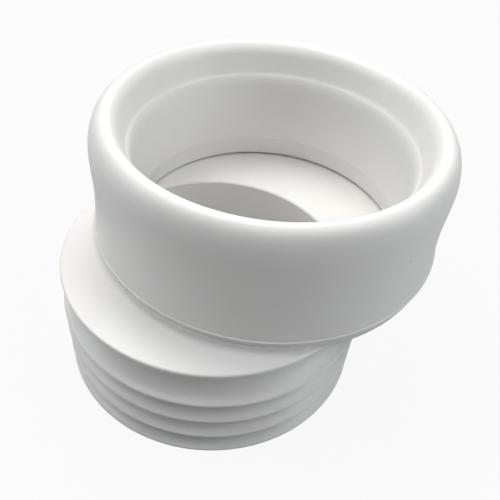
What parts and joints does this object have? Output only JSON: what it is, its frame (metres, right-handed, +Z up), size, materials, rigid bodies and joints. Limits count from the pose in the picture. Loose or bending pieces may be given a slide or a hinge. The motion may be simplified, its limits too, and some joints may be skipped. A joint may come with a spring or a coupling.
{
  "type": "eccentric drain coupling sleeve",
  "caption": "Soft white plastic sleeve with a rolled-rim socket set off-centre above a finned spigot, joining a toilet or drain outlet to a soil pipe.",
  "frame": {"origin": "centre of the spigot's lower end, on the spigot axis", "axes": "+Z up along the spigot and the socket, +X from the spigot axis towards the socket axis"},
  "size_m": [0.139, 0.1226, 0.0866],
  "materials": {
    "white_plastic": "satin"
  },
  "bodies": {
    "root": {"sleeve": "white_plastic"}
  },
  "joints": []
}
